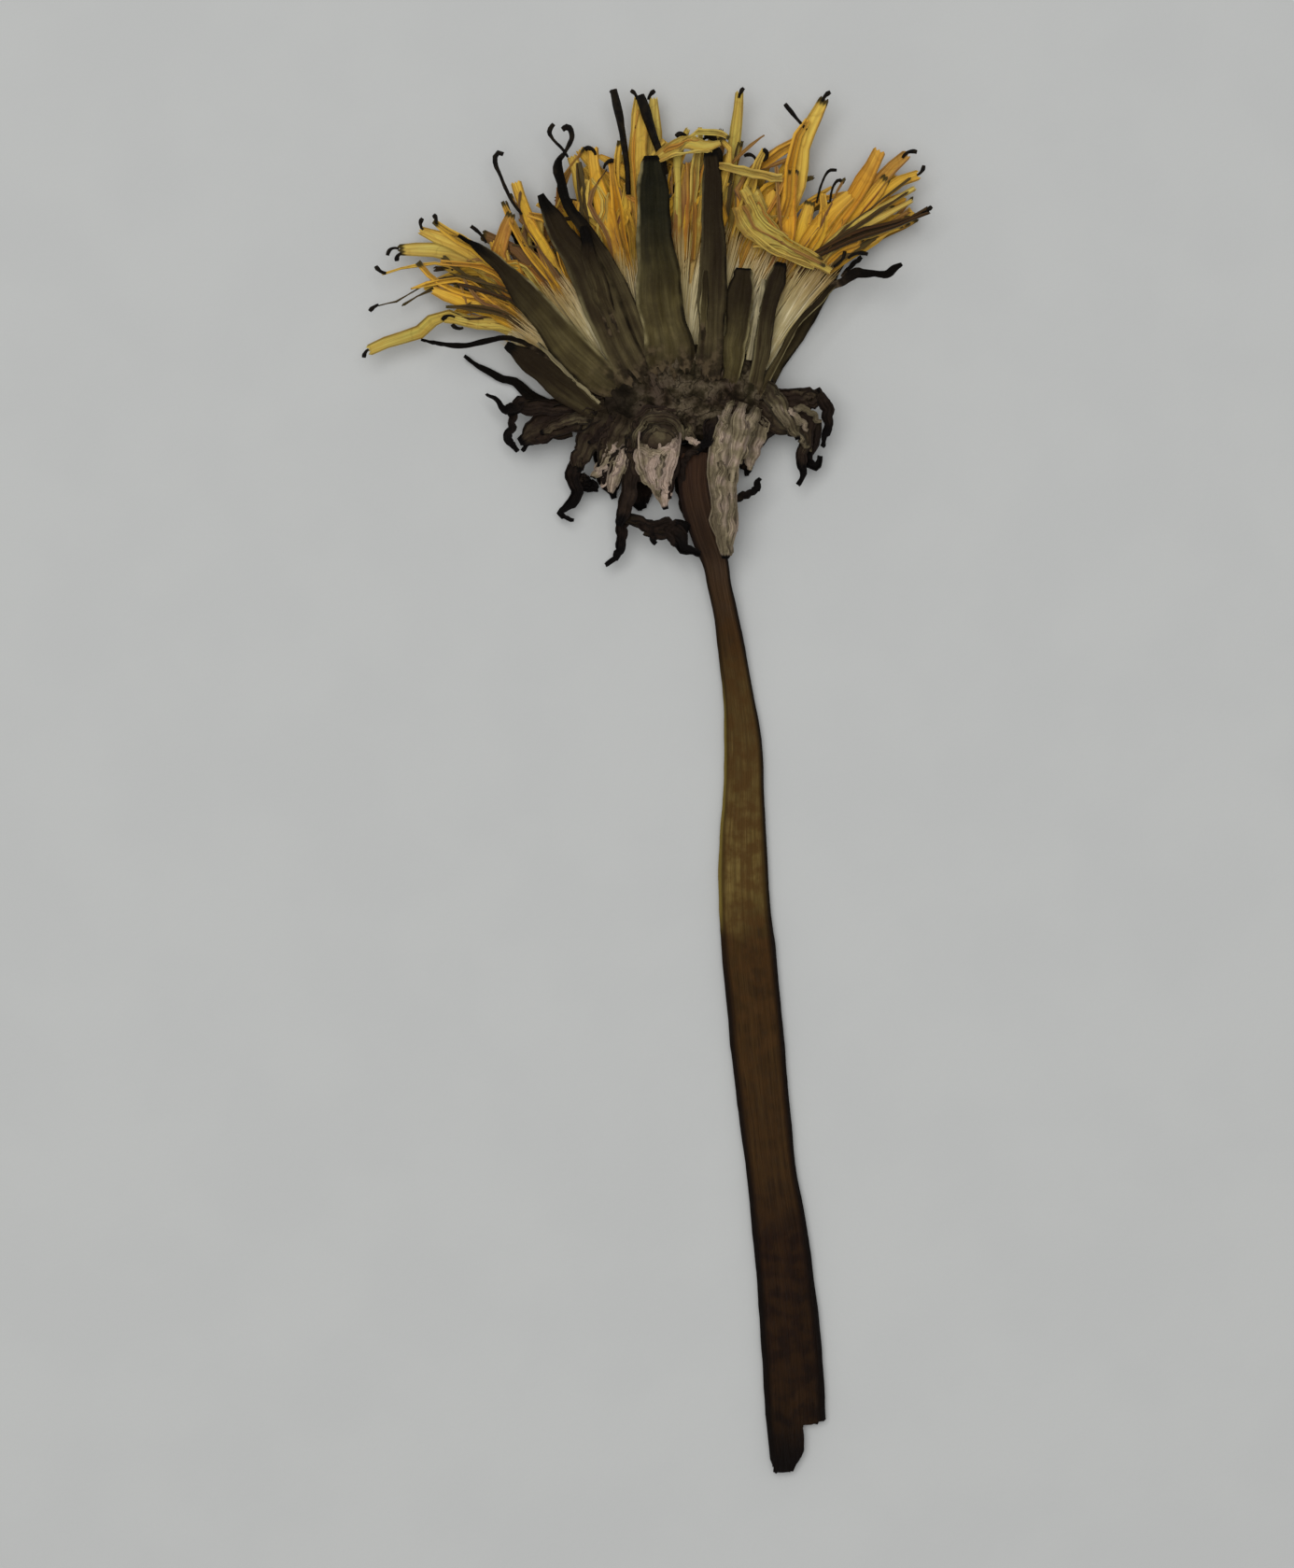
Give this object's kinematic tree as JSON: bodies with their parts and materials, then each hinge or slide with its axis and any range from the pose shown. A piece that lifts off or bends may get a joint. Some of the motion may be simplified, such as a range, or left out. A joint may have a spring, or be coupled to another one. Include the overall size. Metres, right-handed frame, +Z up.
{
  "type": "pressed dandelion",
  "caption": "Pressed and dried dandelion flower: a flattened stalk, a cup of green bracts and a fan of yellow florets, lying flat.",
  "frame": {"origin": "middle of the collar where the stalk meets the head, on the surface the flower lies on", "axes": "+Y from the collar towards the florets' tips, with the stalk running towards -Y; +X to the right seen from above; +Z up, away from the surface"},
  "size_m": [0.0392, 0.0968, 0.0038],
  "materials": {
    "stem": "dry, fibrous, brown to olive",
    "inner_bracts": "dry, dark olive green, pale thin margins",
    "outer_bracts": "dry, shrivelled, purple brown with pale patches",
    "pappus": "dry silky hair, cream",
    "ligules": "dry, golden yellow to orange, dark rolled edges"
  },
  "bodies": {
    "root": {"stem": "stem", "involucre": "inner_bracts", "outer_bracts": "outer_bracts", "pappus": "pappus", "ligules": "ligules"}
  },
  "joints": []
}
